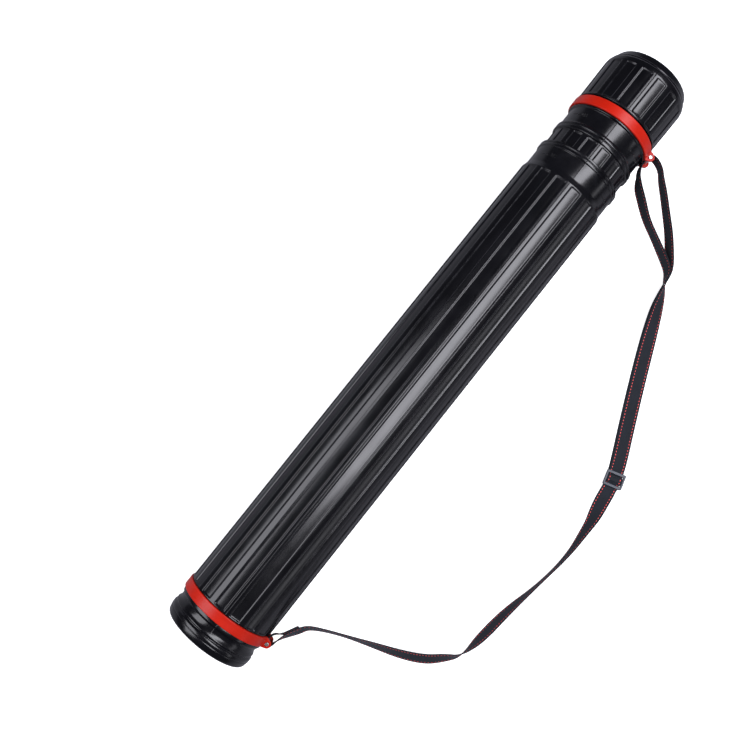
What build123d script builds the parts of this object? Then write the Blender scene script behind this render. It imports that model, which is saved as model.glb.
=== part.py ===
from build123d import *
import math
import os

os.makedirs("parts", exist_ok=True)

# Telescopic drawing tube, lying closed on its side with its carrying strap beside it.
# +X runs along the tube to the cap, +Z is up, and the strap's lugs are on the -Y side.
# The origin is on the floor, under the middle of the tube and its lugs. Millimetres.

# ---- driving dimensions ----
CLOSED_LENGTH = 772.0    # foot to cap with the tube closed
TRAVEL = 530.0           # how far the inner tube draws out
BAND_R = 52.5            # lower band, half of the nominal 105 mm
MAIN_R = 51.0            # outer tube over its ribs
WALL = 1.5               # blow-moulded wall
GAP_COUNT = 16           # sunk panels round every ribbed part
PANEL_HALF_DEG = 6.85    # half the angle of one sunk panel
PANEL_DEPTH = 1.2
PARTING_DEG = 93.0       # the rib that carries the mould's parting line
RUNNING_GAP = 0.3        # radial play between parts that slide or turn on each other

INNER_R = 47.3           # inner tube over its ribs
INNER_PANEL_DEPTH = 1.0
INNER_BORE_R = 44.9
TAIL_R = 46.4            # plain tail of the inner tube

BAND_WIDTH = 11.4
LOWER_BAND_A = 30.9      # distances marked _A are measured from the foot's face
UPPER_BAND_A = 691.3
UPPER_BAND_R = 51.0
LUG_GAP = 18.0           # clear height between a band's two ears
EAR_THICK = 3.0
EAR_R = 4.5
PIN_R = 1.5
PIN_HEAD_R = 2.1
RECESS_R = 2.9           # counterbore in each ear's outer face
RECESS_DEPTH = 0.8

WEB_WIDTH = 17.0         # strap webbing
WEB_THICK = 1.3
WEB_LIFT = 0.1           # webbing's underside above the floor

LUG_REACH = BAND_R + 1.8 + EAR_R                 # outermost point of the lower lug
AXIS_Y = (LUG_REACH - BAND_R) / 2                # puts the origin under the middle of the width
AXIS_Z = BAND_R
FOOT_X = -CLOSED_LENGTH / 2

AXIS_POINT = (FOOT_X, AXIS_Y, AXIS_Z)
TUBE_AXIS = Axis(AXIS_POINT, (1, 0, 0))
# in this plane x is the distance from the foot's face and y the radius
SIDE_PLANE = Plane(origin=AXIS_POINT, x_dir=(1, 0, 0), z_dir=(0, -1, 0))


def across(a):
    """Plane square to the tube at distance a from the foot: x is +Y and y is +Z."""
    return Plane(origin=(FOOT_X + a, AXIS_Y, AXIS_Z), x_dir=(0, 1, 0), z_dir=(1, 0, 0))


def level(height):
    """Horizontal plane whose x is the distance from the foot and whose y is minus the side distance."""
    return Plane(origin=(FOOT_X, AXIS_Y, height), x_dir=(1, 0, 0), z_dir=(0, 0, 1))


def wedges(floor_r, half_deg, first_deg, count=GAP_COUNT, reach=70.0):
    """Sectors round the tube, outside the radius floor_r, drawn in the open sketch."""
    rise = reach * math.tan(math.radians(half_deg))
    with PolarLocations(0, count, start_angle=first_deg):
        Polygon((0, 0), (reach, -rise), (reach, rise), align=None)
    Circle(floor_r, mode=Mode.SUBTRACT)


FIRST_PANEL_DEG = PARTING_DEG + 180.0 / GAP_COUNT

# ---- outer tube, one blow moulding with its foot, band seat, panels, collar and beaded mouth ----
SEAT_R = 50.0
WAIST_R = 48.4
MOUTH_A = 640.0
PANELS_A = (44.8, 605.0)
STOP_A = 607.0           # where the bore narrows and stops the guide ring
HOLLOWS_A = (47.0, STOP_A)   # the hollows behind the ribs, where the guide ring's keys run
OUTER_BORE_R = 48.3
COLLAR_BORE_R = 47.7
BUSH_GROOVE_A = (633.9, 639.1)
BUSH_GROOVE_R = 48.9

with BuildPart() as outer_tube:
    with BuildSketch(SIDE_PLANE):
        with BuildLine():
            Polyline((4.6, 0), (3.0, 0), (3.0, 27.0), (0.0, 33.0), (0.0, 43.5))
            ThreePointArc((0.0, 43.5), (2.4, 48.3), (8.2, 50.9))
            Line((8.2, 50.9), (11.6, 51.0))
            ThreePointArc((11.6, 51.0), (13.2, 50.5), (14.3, 49.6))
            ThreePointArc((14.3, 49.6), (16.0, 50.2), (18.0, 49.4))
            ThreePointArc((18.0, 49.4), (20.4, WAIST_R + 0.2), (23.4, WAIST_R))
            Line((23.4, WAIST_R), (25.4, WAIST_R))
            ThreePointArc((25.4, WAIST_R), (26.4, 49.9), (28.0, 50.6))
            Polyline(
                (28.0, 50.6),
                (30.6, 50.6),
                (30.6, SEAT_R),
                (LOWER_BAND_A + BAND_WIDTH + 0.3, SEAT_R),
                (LOWER_BAND_A + BAND_WIDTH + 0.3, 50.6),
                (LOWER_BAND_A + BAND_WIDTH + 0.8, MAIN_R),
                (605.8, MAIN_R),
                (607.2, 50.7),
                (611.0, 49.5),
                (612.2, 49.2),
                (633.4, 49.2),
                (633.6, 49.9),
            )
            ThreePointArc((633.6, 49.9), (635.1, 50.4), (636.6, 49.9))
            Line((636.6, 49.9), (637.0, 49.9))
            ThreePointArc((637.0, 49.9), (638.5, 50.4), (MOUTH_A, 49.7))
            Polyline(
                (MOUTH_A, 49.7),
                (MOUTH_A, COLLAR_BORE_R),
                (BUSH_GROOVE_A[1], COLLAR_BORE_R),
                (BUSH_GROOVE_A[1], BUSH_GROOVE_R),
                (BUSH_GROOVE_A[0], BUSH_GROOVE_R),
                (BUSH_GROOVE_A[0], COLLAR_BORE_R),
                (STOP_A, COLLAR_BORE_R),
                (STOP_A, OUTER_BORE_R),
                (31.0, OUTER_BORE_R),
                (28.0, WAIST_R - WALL),
                (20.0, WAIST_R - WALL),
                (16.0, 48.6),
                (8.0, 49.0),
                (4.6, 47.5),
                (4.6, 0),
            )
        make_face()
    revolve(axis=TUBE_AXIS)
    # sunk panels outside, and the hollows behind the ribs that keep the wall even
    with BuildSketch(across(PANELS_A[0])):
        wedges(MAIN_R - PANEL_DEPTH, PANEL_HALF_DEG, FIRST_PANEL_DEG)
    extrude(amount=PANELS_A[1] - PANELS_A[0], mode=Mode.SUBTRACT)
    with BuildSketch(across(HOLLOWS_A[0])):
        wedges(40.0, 3.6, PARTING_DEG)
        Circle(49.4, mode=Mode.INTERSECT)
    extrude(amount=HOLLOWS_A[1] - HOLLOWS_A[0], mode=Mode.SUBTRACT)
outer_tube.part.label = "outer_tube"

# ---- inner tube: plain tail, ribbed barrel, double bead, collar, band seat and neck ----
BARREL_A = 76.6
UPPER_SEAT_R = 48.7
NECK_R = 46.9
NECK_END_A = 728.0
RING_SEAT_A = (60.2, 76.6)

with BuildPart() as inner_tube:
    with BuildSketch(SIDE_PLANE):
        with BuildLine():
            Polyline(
                (5.2, INNER_BORE_R),
                (5.2, TAIL_R),
                (RING_SEAT_A[0] - 2.4, TAIL_R),
                (RING_SEAT_A[0] - 1.6, 47.1),
                (RING_SEAT_A[0] - 0.4, 47.1),
                (RING_SEAT_A[0], TAIL_R),
                (BARREL_A, TAIL_R),
                (BARREL_A, INNER_R),
                (659.6, INNER_R),
                (660.2, 48.5),
            )
            ThreePointArc((660.2, 48.5), (662.4, 49.1), (664.2, 48.4))
            ThreePointArc((664.2, 48.4), (666.4, 49.0), (668.2, 48.1))
            Polyline(
                (668.2, 48.1),
                (669.4, INNER_R),
                (688.6, INNER_R),
                (689.6, 48.9),
            )
            ThreePointArc((689.6, 48.9), (690.3, 49.3), (691.0, 49.2))
            Polyline(
                (691.0, 49.2),
                (691.0, UPPER_SEAT_R),
                (UPPER_BAND_A + BAND_WIDTH + 0.3, UPPER_SEAT_R),
                (UPPER_BAND_A + BAND_WIDTH + 0.3, NECK_R),
                (NECK_END_A - 0.8, NECK_R),
                (NECK_END_A, NECK_R - 0.8),
                (NECK_END_A, INNER_BORE_R),
                (5.2, INNER_BORE_R),
            )
        make_face()
    revolve(axis=TUBE_AXIS)
    with BuildSketch(across(BARREL_A + 3.4)):
        wedges(INNER_R - INNER_PANEL_DEPTH, PANEL_HALF_DEG, FIRST_PANEL_DEG)
        Circle(52.0, mode=Mode.INTERSECT)
    extrude(amount=659.2 - BARREL_A - 3.4, mode=Mode.SUBTRACT)
inner_tube.part.label = "inner_tube"

# ---- guide ring: slides in the outer tube, keyed to its rib hollows, and stops the draw ----
KEY_COUNT = 4
with BuildPart() as guide_ring:
    with BuildSketch(across(RING_SEAT_A[0] + 0.3)):
        wedges(46.0, 2.6, PARTING_DEG, count=KEY_COUNT)
        Circle(49.0, mode=Mode.INTERSECT)
        Circle(OUTER_BORE_R - RUNNING_GAP)
        Circle(TAIL_R + RUNNING_GAP, mode=Mode.SUBTRACT)
    extrude(amount=RING_SEAT_A[1] - RING_SEAT_A[0] - 0.6)
guide_ring.part.label = "guide_ring"

# ---- lock bush: turns in the mouth's groove, keyed in the inner tube's panels ----
BUSH_R = BUSH_GROOVE_R - RUNNING_GAP
with BuildPart() as lock_bush:
    with BuildSketch(across(BUSH_GROOVE_A[0] + 0.3)):
        Circle(BUSH_R)
        Circle(INNER_R + RUNNING_GAP, mode=Mode.SUBTRACT)
    extrude(amount=BUSH_GROOVE_A[1] - BUSH_GROOVE_A[0] - 0.6)
    with BuildSketch(across(BUSH_GROOVE_A[0] + 0.3)):
        wedges(INNER_R - INNER_PANEL_DEPTH + 0.4, 5.2, FIRST_PANEL_DEG, count=KEY_COUNT)
        Circle(BUSH_R - 0.4, mode=Mode.INTERSECT)
    extrude(amount=BUSH_GROOVE_A[1] - BUSH_GROOVE_A[0] - 0.6)
lock_bush.part.label = "lock_bush"

# ---- cap: ribbed skirt over the neck, rounded end with a raised ring ----
CAP_A = 704.9
CAP_BORE_R = NECK_R + 0.4
SEAL_LEDGE_A = 732.0
with BuildPart() as cap:
    with BuildSketch(SIDE_PLANE):
        with BuildLine():
            Polyline(
                (CAP_A, CAP_BORE_R),
                (CAP_A, 49.3),
                (CAP_A + 0.6, 49.9),
                (CAP_A + 1.6, 49.9),
                (CAP_A + 2.0, 49.6),
                (753.6, 50.4),
            )
            ThreePointArc((753.6, 50.4), (757.8, 49.8), (760.9, 48.3))
            ThreePointArc((760.9, 48.3), (762.3, 48.3), (763.0, 47.2))
            ThreePointArc((763.0, 47.2), (769.4, 42.6), (772.0, 35.0))
            Polyline(
                (772.0, 35.0),
                (772.0, 0),
                (770.3, 0),
                (770.3, 34.0),
                (761.0, 45.0),
                (750.0, 45.6),
                (SEAL_LEDGE_A, 45.6),
                (SEAL_LEDGE_A, CAP_BORE_R),
                (CAP_A, CAP_BORE_R),
            )
        make_face()
    revolve(axis=TUBE_AXIS)
    with BuildSketch(across(CAP_A + 2.0)):
        wedges(49.6 - INNER_PANEL_DEPTH, PANEL_HALF_DEG, FIRST_PANEL_DEG)
    extrude(amount=753.0 - CAP_A - 2.0, mode=Mode.SUBTRACT)
cap.part.label = "cap"

# ---- seal ring between the neck's end and the cap's ledge ----
with BuildPart() as cap_seal:
    with BuildSketch(across(NECK_END_A + RUNNING_GAP)):
        Circle(CAP_BORE_R - RUNNING_GAP)
        Circle(INNER_BORE_R, mode=Mode.SUBTRACT)
    extrude(amount=SEAL_LEDGE_A - NECK_END_A - 2 * RUNNING_GAP)
cap_seal.part.label = "cap_seal"


# ---- bands: split rings whose ends turn out as two ears, with a pin across the ears ----
def band_pin_side(outer_r):
    """Side distance of a band's pin from the tube's axis."""
    return outer_r + 1.8


LOWER_PIN_A = LOWER_BAND_A + BAND_WIDTH / 2
UPPER_PIN_A = UPPER_BAND_A + BAND_WIDTH / 2
BANDS = (
    ("lower", LOWER_BAND_A, SEAT_R + 0.05, BAND_R),
    ("upper", UPPER_BAND_A, UPPER_SEAT_R + RUNNING_GAP, UPPER_BAND_R),
)
for name, start_a, bore_r, outer_r in BANDS:
    pin_side = band_pin_side(outer_r)
    middle_a = start_a + BAND_WIDTH / 2
    ears_half = LUG_GAP / 2 + EAR_THICK
    root_side = math.sqrt(bore_r**2 - (LUG_GAP / 2) ** 2) + 0.8   # where an ear grows out of the ring
    with BuildPart() as band:
        with BuildSketch(across(start_a)):
            Circle(outer_r)
            with Locations((-outer_r, 0)):
                Rectangle(outer_r, LUG_GAP, mode=Mode.SUBTRACT)
            Circle(bore_r, mode=Mode.SUBTRACT)
        extrude(amount=BAND_WIDTH)
        outer_edges = band.edges().filter_by(GeomType.CIRCLE).sort_by(SortBy.RADIUS)[-2:]
        fillet(outer_edges, radius=0.8)
        for low in (AXIS_Z + LUG_GAP / 2, AXIS_Z - LUG_GAP / 2 - EAR_THICK):
            with BuildSketch(level(low)):
                with Locations((middle_a, -pin_side)):
                    Circle(EAR_R)
                with Locations((middle_a, -root_side - 1.0)):
                    Rectangle(BAND_WIDTH, 2.0)
                make_hull()
            extrude(amount=EAR_THICK)
        rims = band.edges().filter_by(GeomType.CIRCLE).filter_by(lambda edge: abs(edge.radius - EAR_R) < 0.01)
        fillet(rims, radius=0.5)
        with BuildSketch(level(AXIS_Z - LUG_GAP)):
            with Locations((middle_a, -pin_side)):
                Circle(PIN_R + 0.05)
        extrude(amount=2 * LUG_GAP, mode=Mode.SUBTRACT)
        for low in (AXIS_Z + ears_half - RECESS_DEPTH, AXIS_Z - ears_half):
            with BuildSketch(level(low)):
                with Locations((middle_a, -pin_side)):
                    Circle(RECESS_R)
            extrude(amount=RECESS_DEPTH, mode=Mode.SUBTRACT)
    band.part.label = f"{name}_band"
    export_step(band.part, f"parts/{name}_band.step")

    # the pin's round head sits in the upper ear's recess, and its pressed cap in the lower one
    shoulder = ears_half - RECESS_DEPTH
    with BuildPart() as pin:
        with BuildSketch(level(AXIS_Z - shoulder - 0.7)):
            with Locations((middle_a, -pin_side)):
                Circle(PIN_R)
        extrude(amount=2 * shoulder + 0.7)
        with BuildSketch(level(AXIS_Z + shoulder)):
            with Locations((middle_a, -pin_side)):
                Circle(PIN_HEAD_R)
        extrude(amount=1.1)
        fillet(pin.edges().group_by(Axis.Z)[-1], radius=0.5)
    pin.part.label = f"{name}_pin"
    export_step(pin.part, f"parts/{name}_pin.step")

    with BuildPart() as pin_cap:
        with BuildSketch(level(AXIS_Z - shoulder - 1.1)):
            with Locations((middle_a, -pin_side)):
                Circle(PIN_HEAD_R)
        extrude(amount=1.1)
        fillet(pin_cap.edges().group_by(Axis.Z)[0], radius=0.4)
        with BuildSketch(level(AXIS_Z - shoulder - 0.7)):
            with Locations((middle_a, -pin_side)):
                Circle(PIN_R)
        extrude(amount=0.7, mode=Mode.SUBTRACT)
    pin_cap.part.label = f"{name}_pin_cap"
    export_step(pin_cap.part, f"parts/{name}_pin_cap.step")

# ---- three-bar slider, with the webbing's turn over its middle bar ----
SLIDER_A = 404.9
SLIDER_SIDE = 246.3
SLIDER_YAW = -16.0       # turned clockwise, seen from above
SLIDER_LENGTH = 18.0     # along the strap
SLIDER_WIDTH = 22.0
SLIDER_LOW = 3.1         # rides on the two layers of webbing
SLIDER_THICK = 2.6
END_BAR = 3.3
MIDDLE_BAR = 3.0
WINDOW_WIDTH = WEB_WIDTH + 0.4


def slider_plane(height):
    """Horizontal plane on the slider: x runs along the strap towards the upper lug."""
    centre = (FOOT_X + SLIDER_A, AXIS_Y - SLIDER_SIDE, height)
    return Plane(origin=centre, x_dir=(1, 0, 0), z_dir=(0, 0, 1)).rotated((0, 0, -SLIDER_YAW))


with BuildPart() as slider:
    with BuildSketch(slider_plane(SLIDER_LOW)):
        RectangleRounded(SLIDER_LENGTH, SLIDER_WIDTH, 1.6)
        Rectangle(SLIDER_LENGTH - 2 * END_BAR, WINDOW_WIDTH, mode=Mode.SUBTRACT)
    extrude(amount=SLIDER_THICK)
    fillet(slider.edges().group_by(Axis.Z)[-1], radius=0.7)
    with BuildSketch(slider_plane(SLIDER_LOW)):
        Rectangle(MIDDLE_BAR, WINDOW_WIDTH + 1.0)
    extrude(amount=1.8)
slider.part.label = "slider"

with BuildPart() as slider_webbing:
    turn_outer = MIDDLE_BAR + 2 * (0.1 + WEB_THICK)
    with BuildSketch(slider_plane(SLIDER_LOW)):
        Rectangle(turn_outer, WEB_WIDTH)
    extrude(amount=1.9 + WEB_THICK)
    long_edges = slider_webbing.edges().group_by(Axis.Z)[-1].sort_by(SortBy.LENGTH)[-2:]
    fillet(long_edges, radius=1.2)
    with BuildSketch(slider_plane(SLIDER_LOW)):
        Rectangle(MIDDLE_BAR + 0.2, WEB_WIDTH + 1.0)
    extrude(amount=1.9, mode=Mode.SUBTRACT)
slider_webbing.part.label = "slider_webbing"

# ---- strap webbing: (distance from the foot, side distance, height) of its centre line ----
PIN_ROUND = PIN_R + 0.1 + WEB_THICK / 2          # centre line of the webbing round a pin
LOW_SIDE = band_pin_side(BAND_R)
HIGH_SIDE = band_pin_side(UPPER_BAND_R)
ON_EDGE = WEB_LIFT + WEB_WIDTH / 2               # height of webbing that stands on its edge
FLAT = WEB_LIFT + WEB_THICK / 2                  # height of webbing that lies flat
SECOND_FLAT = FLAT + WEB_THICK + 0.1             # height of a second layer

TAIL_EYE = [
    (68.5, 72.0, AXIS_Z),
    (59.2, 66.8, AXIS_Z),
    (52.0, 61.0, AXIS_Z),
    (46.8, 53.4, AXIS_Z),
    (39.5, LOW_SIDE - PIN_ROUND, AXIS_Z),
    (33.6, LOW_SIDE - PIN_ROUND + 0.2, AXIS_Z),
    (33.2, 57.6, AXIS_Z),
    (38.2, 59.6, AXIS_Z),
    (46.5, 62.2, AXIS_Z),
    (54.5, 66.0, AXIS_Z),
    (64.0, 71.6, AXIS_Z),
]
LOWER_RUN = [
    (64.0, 71.6, AXIS_Z),
    (74.0, 77.5, AXIS_Z),
    (82.0, 95.0, 45.0),
    (89.8, 119.0, 33.0),
    (97.5, 147.0, 19.0),
    (106.5, 177.0, 10.5),
    (119.0, 203.0, ON_EDGE),
    (134.0, 218.5, ON_EDGE),
]
FLOOR_RUN = [
    (134.0, 218.5, ON_EDGE),
    (146.0, 230.9, ON_EDGE),
    (175.0, 236.0, ON_EDGE),
    (216.0, 240.6, ON_EDGE),
    (260.0, 249.8, ON_EDGE),
    (306.0, 256.2, ON_EDGE),
    (345.0, 254.0, ON_EDGE),
]
MAIN_FLAT = [
    (345.1, 253.99, ON_EDGE),
    (353.0, 253.55, ON_EDGE),
    (362.0, 252.2, 6.6),
    (372.0, 250.8, 4.6),
    (384.0, 249.4, 3.0),
    (392.0, 248.4, 2.5),
    (400.0, 247.2, SECOND_FLAT + 0.1),
    (411.0, 244.5, SECOND_FLAT),
    (428.0, 237.8, SECOND_FLAT),
    (456.0, 224.8, SECOND_FLAT),
    (500.0, 205.0, SECOND_FLAT),
    (545.0, 185.6, SECOND_FLAT),
    (583.0, 169.7, 4.4),
    (602.0, 161.8, 7.6),
    (617.0, 155.6, ON_EDGE + 1.5),
]
MAIN_RISE = [
    (617.0, 155.6, ON_EDGE + 1.5),
    (630.0, 150.2, ON_EDGE + 4.0),
    (643.0, 138.0, 17.0),
    (657.5, 123.5, 24.5),
    (672.0, 106.0, 34.0),
    (684.0, 90.5, 45.0),
    (693.0, 80.2, AXIS_Z),
    (698.0, 70.0, AXIS_Z),
]
UPPER_EYE = [
    (698.0, 70.0, AXIS_Z),
    (703.2, 59.4, AXIS_Z),
    (702.4, HIGH_SIDE - PIN_ROUND, AXIS_Z),
    (692.0, HIGH_SIDE - PIN_ROUND, AXIS_Z),
    (683.0, 51.4, AXIS_Z),
    (676.0, 56.2, AXIS_Z),
]
RETURN_RISE = [
    (676.0, 56.2, AXIS_Z),
    (668.6, 61.3, AXIS_Z),
    (660.0, 75.0, 46.5),
    (652.5, 95.0, 34.0),
    (646.5, 117.0, 23.0),
    (637.0, 136.0, 14.5),
    (628.4, 149.3, ON_EDGE + 2.4),
    (616.4, 154.2, ON_EDGE),
]
RETURN_FLAT = [
    (616.4, 154.2, ON_EDGE),
    (601.4, 160.4, 6.1),
    (582.4, 168.3, 2.9),
    (544.4, 184.2, FLAT),
    (499.4, 203.6, FLAT),
    (455.4, 223.4, FLAT),
    (430.0, 235.3, FLAT),
    (413.0, 242.6, FLAT),
]
STRAP = (
    ("strap_tail_eye", TAIL_EYE, True),
    ("strap_lower_run", LOWER_RUN, True),
    ("strap_floor_run", FLOOR_RUN, True),
    ("strap_main_flat", MAIN_FLAT, False),
    ("strap_main_rise", MAIN_RISE, True),
    ("strap_upper_eye", UPPER_EYE, True),
    ("strap_return_rise", RETURN_RISE, True),
    ("strap_return_flat", RETURN_FLAT, False),
)


def place(point):
    """World position of a route point."""
    a, side, height = point
    return Vector(FOOT_X + a, AXIS_Y - side, height)


def bend_radii(route):
    """A radius for each bend that uses 0.45 of the shorter run beside it."""
    points = [place(p) for p in route]
    radii = []
    for before, here, after in zip(points, points[1:], points[2:]):
        turn = math.radians((here - before).get_angle(after - here))
        shorter = min((here - before).length, (after - here).length)
        radii.append(0.45 * shorter / math.tan(turn / 2))
    return radii


for name, route, on_edge in STRAP:
    print(name, "bend radii:", *[round(radius, 1) for radius in bend_radii(route)])
    with BuildPart() as webbing:
        with BuildLine() as path:
            FilletPolyline(*[place(point) for point in route], radius=bend_radii(route))
        start = path.line @ 0
        heading = path.line % 0
        section_size = (WEB_THICK, WEB_WIDTH) if on_edge else (WEB_WIDTH, WEB_THICK)
        with BuildSketch(Plane(origin=start, x_dir=heading.cross(Vector(0, 0, 1)), z_dir=heading)):
            Rectangle(*section_size)
        sweep(path=path.line)
    webbing.part.label = name
    export_step(webbing.part, f"parts/{name}.step")

for piece in (outer_tube, inner_tube, guide_ring, lock_bush, cap, cap_seal, slider, slider_webbing):
    export_step(piece.part, f"parts/{piece.part.label}.step")
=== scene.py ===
import math

import bpy
import numpy as np
from mathutils import Matrix, Vector


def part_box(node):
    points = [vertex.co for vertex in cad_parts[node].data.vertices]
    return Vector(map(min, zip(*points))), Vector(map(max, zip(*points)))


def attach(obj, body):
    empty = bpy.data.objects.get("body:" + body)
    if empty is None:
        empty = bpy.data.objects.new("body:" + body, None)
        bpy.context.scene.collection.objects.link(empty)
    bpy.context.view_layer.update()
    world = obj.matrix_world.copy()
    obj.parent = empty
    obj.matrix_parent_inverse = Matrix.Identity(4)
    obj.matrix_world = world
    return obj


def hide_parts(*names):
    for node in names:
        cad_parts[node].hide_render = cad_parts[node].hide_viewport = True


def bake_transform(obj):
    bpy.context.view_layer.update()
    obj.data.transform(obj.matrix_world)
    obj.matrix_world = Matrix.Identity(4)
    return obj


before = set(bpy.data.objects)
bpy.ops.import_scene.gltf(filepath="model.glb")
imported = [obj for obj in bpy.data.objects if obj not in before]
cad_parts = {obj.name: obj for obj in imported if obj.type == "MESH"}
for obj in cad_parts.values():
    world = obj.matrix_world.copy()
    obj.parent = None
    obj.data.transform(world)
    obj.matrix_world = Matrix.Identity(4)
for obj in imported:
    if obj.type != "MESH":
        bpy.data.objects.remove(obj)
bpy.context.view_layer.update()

# Telescopic drawing tube with a webbing strap. +X runs along the tube to the cap, +Z is up.
# Lengths marked _MM and all profile and route numbers are millimetres; the meshes are in metres.

MM = 0.001
tube_low, tube_high = (np.array(corner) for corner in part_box("outer_tube"))
FOOT_X = tube_low[0]
AXIS_Y = (tube_low[1] + tube_high[1]) / 2
AXIS_Z = (tube_low[2] + tube_high[2]) / 2
BAND_RADIUS_MM = (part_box("lower_band")[1][2] - AXIS_Z) / MM


def along_foot(a):
    """World x of a distance from the foot's face in millimetres."""
    return FOOT_X + a * MM


def placed(route):
    """World points of a route of (distance from the foot, side distance, height)."""
    route = np.array(route, float)
    lift = AXIS_Z / MM - BAND_RADIUS_MM
    return np.stack(
        [FOOT_X + route[:, 0] * MM, AXIS_Y - route[:, 1] * MM, (route[:, 2] + lift) * MM],
        axis=1,
    )


# ---- meshes from grids of points ----
def ramp(t):
    """0 below 0, 1 above 1, and t - sin(2πt)/4π between: a slope with only lightly rounded ends."""
    t = np.clip(t, 0.0, 1.0)
    return t - np.sin(2.0 * np.pi * t) / (4.0 * np.pi)


def grid_faces(rows, columns, rows_wrap, ends):
    """Quads between neighbours of a grid whose columns close on themselves, and a fan to a middle point
    at each closed end. The faces point along (column direction) x (row direction)."""
    index = np.arange(rows * columns).reshape(rows, columns)
    index = np.hstack([index, index[:, :1]])
    if rows_wrap:
        index = np.vstack([index, index[:1]])
    corners = [index[:-1, :-1], index[:-1, 1:], index[1:, 1:], index[1:, :-1]]
    faces = np.stack(corners, axis=-1).reshape(-1, 4).tolist()
    if ends:
        first = np.full(columns, rows * columns)
        last = first + 1
        faces += np.stack([first, index[0, 1:], index[0, :-1]], axis=-1).tolist()
        faces += np.stack([last, index[-1, :-1], index[-1, 1:]], axis=-1).tolist()
    return faces


def grid_object(name, points, rows_wrap=False, ends=True, middles=None, uv=None, rim=None):
    """Object over a grid of points (rows, columns, 3), with its ends closed to middle points, an optional
    UV per grid point, and an optional rim attribute, 1 along edges where wear and a painted highlight go."""
    rows, columns = points.shape[:2]
    vertices = points.reshape(-1, 3)
    if ends:
        if middles is None:
            middles = np.stack([points[0].mean(axis=0), points[-1].mean(axis=0)])
        vertices = np.vstack([vertices, middles])
    mesh = bpy.data.meshes.new(name)
    mesh.from_pydata(vertices.tolist(), [], grid_faces(rows, columns, rows_wrap, ends))
    extra = len(vertices) - rows * columns
    if uv is not None:
        end_uv = np.repeat(uv[[0, -1]].mean(axis=1), extra // 2, axis=0)
        flat = np.vstack([uv.reshape(-1, 2), end_uv])
        corner = np.zeros(len(mesh.loops), int)
        mesh.loops.foreach_get("vertex_index", corner)
        layer = mesh.uv_layers.new(name="UVMap")
        layer.data.foreach_set("uv", flat[corner].astype(np.float32).ravel())
    if rim is not None:
        values = np.concatenate([rim.ravel(), np.zeros(extra)]).astype(np.float32)
        mesh.attributes.new("rim", "FLOAT", "POINT").data.foreach_set("value", values)
    mesh.shade_smooth()
    mesh.update()
    piece = bpy.data.objects.new(name, mesh)
    bpy.context.collection.objects.link(piece)
    return piece


def joined(name, parts):
    """One object from several, with all their vertices and faces."""
    for part in parts:
        part.select_set(False)
    with bpy.context.temp_override(active_object=parts[0], selected_editable_objects=parts):
        bpy.ops.object.join()
    parts[0].name = name
    parts[0].data.name = name
    return parts[0]


# ---- ribbed shells: a profile of (distance, radius) turned about the tube's axis ----
PANEL_COUNT = 16
PANEL_PERIOD = 360.0 / PANEL_COUNT
PANEL_HALF = 6.85
PANEL_SOFT = 1.15            # half of the angle over which a panel's edge falls
PANEL_SOFT_MM = 0.95
SEAM = 93.0                  # parting line, on a rib
FIRST_PANEL = SEAM + PANEL_PERIOD / 2
SEAM_HEIGHT_MM = 0.16
SEAM_WIDTH_MM = 0.3
SEAM_RADIUS_MM = 50.0        # radius at which the seam's width is measured
RUN_POINTS = 8               # profile points on the straight part of a panelled run
SMALL_CUT_MM = 0.55          # a rounded corner has 2, 4 or 8 segments, by its cut
MIDDLE_CUT_MM = 1.5


def shell_angles():
    """Angles in degrees round the tube: close together at the panel edges and at the two parting lines."""
    edge = PANEL_SOFT * np.linspace(-1.1, 1.1, 9)
    middle = np.array([-4.4, -2.2, 0.0, 2.2, 4.4])
    rib = np.array([-11.25, -10.0, -8.9, 8.9, 10.0])
    offsets = np.concatenate([middle, rib, PANEL_HALF + edge, -PANEL_HALF + edge])
    panels = FIRST_PANEL + PANEL_PERIOD * np.arange(PANEL_COUNT)
    seam = np.array([-0.9, -0.6, -0.35, -0.18, 0.0, 0.18, 0.35, 0.6, 0.9])
    angles = (panels[:, None] + offsets).ravel()
    angles = np.concatenate([angles, SEAM + seam, SEAM + 180.0 + seam]) % 360.0
    return np.unique(np.round(angles, 3))


def softened(corners):
    """Profile through (distance, radius, cut) corners. A corner with a cut becomes a quadratic curve that
    leaves its two straight runs at that distance from the corner, at most 0.45 of the shorter run. It has
    2 segments where the cut is small, and 4 or 8 where it is larger."""
    points = np.array(corners, float)
    line = [points[0, :2]]
    for before, here, after in zip(points[:-2], points[1:-1], points[2:]):
        back, ahead = before[:2] - here[:2], after[:2] - here[:2]
        back_length, ahead_length = np.linalg.norm(back), np.linalg.norm(ahead)
        cut = min(here[2], 0.45 * back_length, 0.45 * ahead_length)
        if cut <= 0.0:
            line.append(here[:2])
            continue
        leave = here[:2] + back / back_length * cut
        arrive = here[:2] + ahead / ahead_length * cut
        segments = 2 if cut < SMALL_CUT_MM else 4 if cut < MIDDLE_CUT_MM else 8
        t = np.linspace(0.0, 1.0, segments + 1)[:, None]
        line.extend((1 - t) ** 2 * leave + 2 * t * (1 - t) * here[:2] + t**2 * arrive)
    line.append(points[-1, :2])
    return np.array(line)


def panel_marks(span, radius_at_start, radius_at_end):
    """Profile points on a straight run: evenly spaced, and close together at the two ends of the panels."""
    steps = PANEL_SOFT_MM * np.linspace(-1.2, 1.2, 7)
    inner = np.linspace(span[0] + 3.0, span[1] - 3.0, RUN_POINTS)
    a = np.concatenate([span[0] + steps, inner, span[1] + steps])
    radius = np.interp(a, span, (radius_at_start, radius_at_end))
    return [(float(x), float(r), 0.0) for x, r in zip(a, radius)]


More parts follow.
